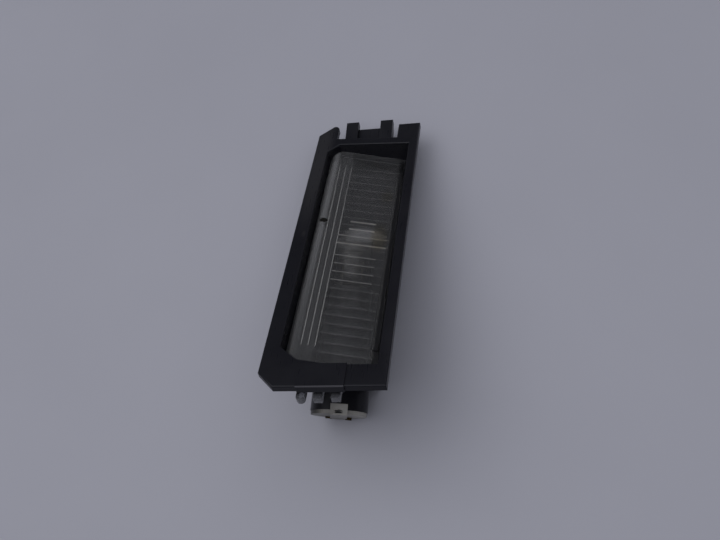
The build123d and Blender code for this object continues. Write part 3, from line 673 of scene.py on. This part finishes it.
# Filament: a coil of fine tungsten wire, wound on a mandrel and clamped across the leads' tips.
# Heat has left it dark grey.
coil_turns = 13.0
coil_wire = 0.09
filament_radius = 0.4
coil_radius = filament_radius - coil_wire
coil, sizes = new_tree("wound_filament", {
    "Length": "Float", "Turns": "Float", "Coil Radius": "Float", "Wire Radius": "Float",
    "Material": "Material"})
winding = add_node(coil, "GeometryNodeCurveSpiral", {
    "Resolution": 20, "Rotations": sizes["Turns"], "Start Radius": sizes["Coil Radius"],
    "End Radius": sizes["Coil Radius"], "Height": sizes["Length"]})
ring = add_node(coil, "GeometryNodeCurvePrimitiveCircle", {
    "Resolution": 8, "Radius": sizes["Wire Radius"]}, out="Curve")
wound = add_node(coil, "GeometryNodeCurveToMesh", {
    "Curve": winding, "Profile Curve": ring, "Fill Caps": True})
end_tree(coil, wound, sizes["Material"])

# Drawn tungsten: a dull dark grey metal, patchy from heat
tungsten, tree, place = new_material("tungsten_wire_wound")
scorch = add_node(tree, "ShaderNodeTexNoise", {
    "Vector": place, "Scale": 1 / 0.6, "Detail": 3.0, "Roughness": 0.6})
tone = add_node(tree, "ShaderNodeMix", {
    "Factor": scorch, "A": paint("#5b5a5c"), "B": paint("#39383a")}, out="Result", data_type="RGBA")
dull = add_node(tree, "ShaderNodeMapRange", {
    "Value": scorch, "From Min": 0.3, "From Max": 0.7, "To Min": 0.35, "To Max": 0.55})
shader = add_node(tree, "ShaderNodeBsdfPrincipled", {
    "Base Color": tone, "Roughness": dull, "Metallic": 1.0})
add_node(tree, "ShaderNodeOutputMaterial", {"Surface": shader})
filament = node_piece("filament_coil", coil, {
    "Length": (2 * lead_half + 2 * lead_radius - 2 * coil_wire) * MM, "Turns": coil_turns,
    "Coil Radius": coil_radius * MM, "Wire Radius": coil_wire * MM, "Material": tungsten})
start = on_bulb(-lead_half - lead_radius + coil_wire, filament_place + filament_radius, 0)
turned = Matrix((inward, upward, sideways)).transposed().to_4x4()
filament.data.transform(Matrix.Translation(start) @ turned)
filament.data.shade_smooth()
finish_piece(filament, tungsten, "filament")

# Studio: a plain pale table, a large soft light from the upper left and a room that is bright above
# and dim along its walls
right = Vector((0.97597, 0.05530, -0.21077)).normalized()
ahead = Vector((-0.21432, 0.41841, -0.88261)).normalized()
above = right.cross(ahead).normalized()
eye_place = Vector((0.050146, -0.100358, 0.215266))
camera = bpy.data.cameras.new("camera")
camera.lens = 43.1
camera.sensor_width = 36.0
eye = bpy.data.objects.new("camera", camera)
bpy.context.collection.objects.link(eye)
eye.matrix_world = Matrix((
    (right.x, above.x, -ahead.x, eye_place.x),
    (right.y, above.y, -ahead.y, eye_place.y),
    (right.z, above.z, -ahead.z, eye_place.z),
    (0, 0, 0, 1)))
bpy.context.scene.camera = eye

floor_mesh = bpy.data.meshes.new("floor")
reach = 3.0
floor_mesh.from_pydata(
    [(-reach, -reach, 0), (reach, -reach, 0), (reach, reach, 0), (-reach, reach, 0)], [], [(0, 1, 2, 3)])
floor = bpy.data.objects.new("floor", floor_mesh)
bpy.context.collection.objects.link(floor)
table_top, tree, place = new_material("pale_table_lacquered")
mottle = add_node(tree, "ShaderNodeTexNoise", {
    "Vector": place, "Scale": 1 / 60, "Detail": 4.0, "Roughness": 0.55})
tone = add_node(tree, "ShaderNodeMix", {
    "Factor": mottle, "A": paint("#a9a9b0"), "B": paint("#b1b1b8")}, out="Result", data_type="RGBA")
shader = add_node(tree, "ShaderNodeBsdfPrincipled", {"Base Color": tone, "Roughness": 0.55})
add_node(tree, "ShaderNodeOutputMaterial", {"Surface": shader})
floor_mesh.materials.append(table_top)

# The key light is the large soft one; a dim upright panel far behind on the right lights the lens's
# ribs, which turn its light to the eye
for name, width, height, energy, colour, spot in (
        ("key", 0.8, 0.8, 1.6, "#fafaff", (-0.5, 0.1, 0.95)),
        ("panel", 0.34, 0.5, 0.1, "#ffffff", (0.33, 0.90, 0.42))):
    soft_light = bpy.data.lights.new(name, "AREA")
    soft_light.shape = "RECTANGLE"
    soft_light.size = width
    soft_light.size_y = height
    soft_light.energy = energy
    soft_light.color = paint(colour)[:3]
    stand = bpy.data.objects.new(name, soft_light)
    bpy.context.collection.objects.link(stand)
    stand.location = spot
    stand.rotation_euler = (-stand.location).to_track_quat("-Z", "Y").to_euler()

world = bpy.data.worlds.new("room")
world.use_nodes = True
sky = world.node_tree
sky.nodes.clear()
gaze = add_node(sky, "ShaderNodeTexCoord", out="Generated")
lift = add_node(sky, "ShaderNodeSeparateXYZ", {"Vector": gaze}, out="Z")
glow = add_node(sky, "ShaderNodeMapRange", {
    "Value": lift, "From Min": 0.45, "From Max": 0.95, "To Min": 0.08, "To Max": 1.02},
    interpolation_type="SMOOTHSTEP")
light = add_node(sky, "ShaderNodeBackground", {"Color": paint("#f2f4ff"), "Strength": glow})
add_node(sky, "ShaderNodeOutputWorld", {"Surface": light})
bpy.context.scene.world = world
bpy.context.scene.view_settings.view_transform = "Standard"
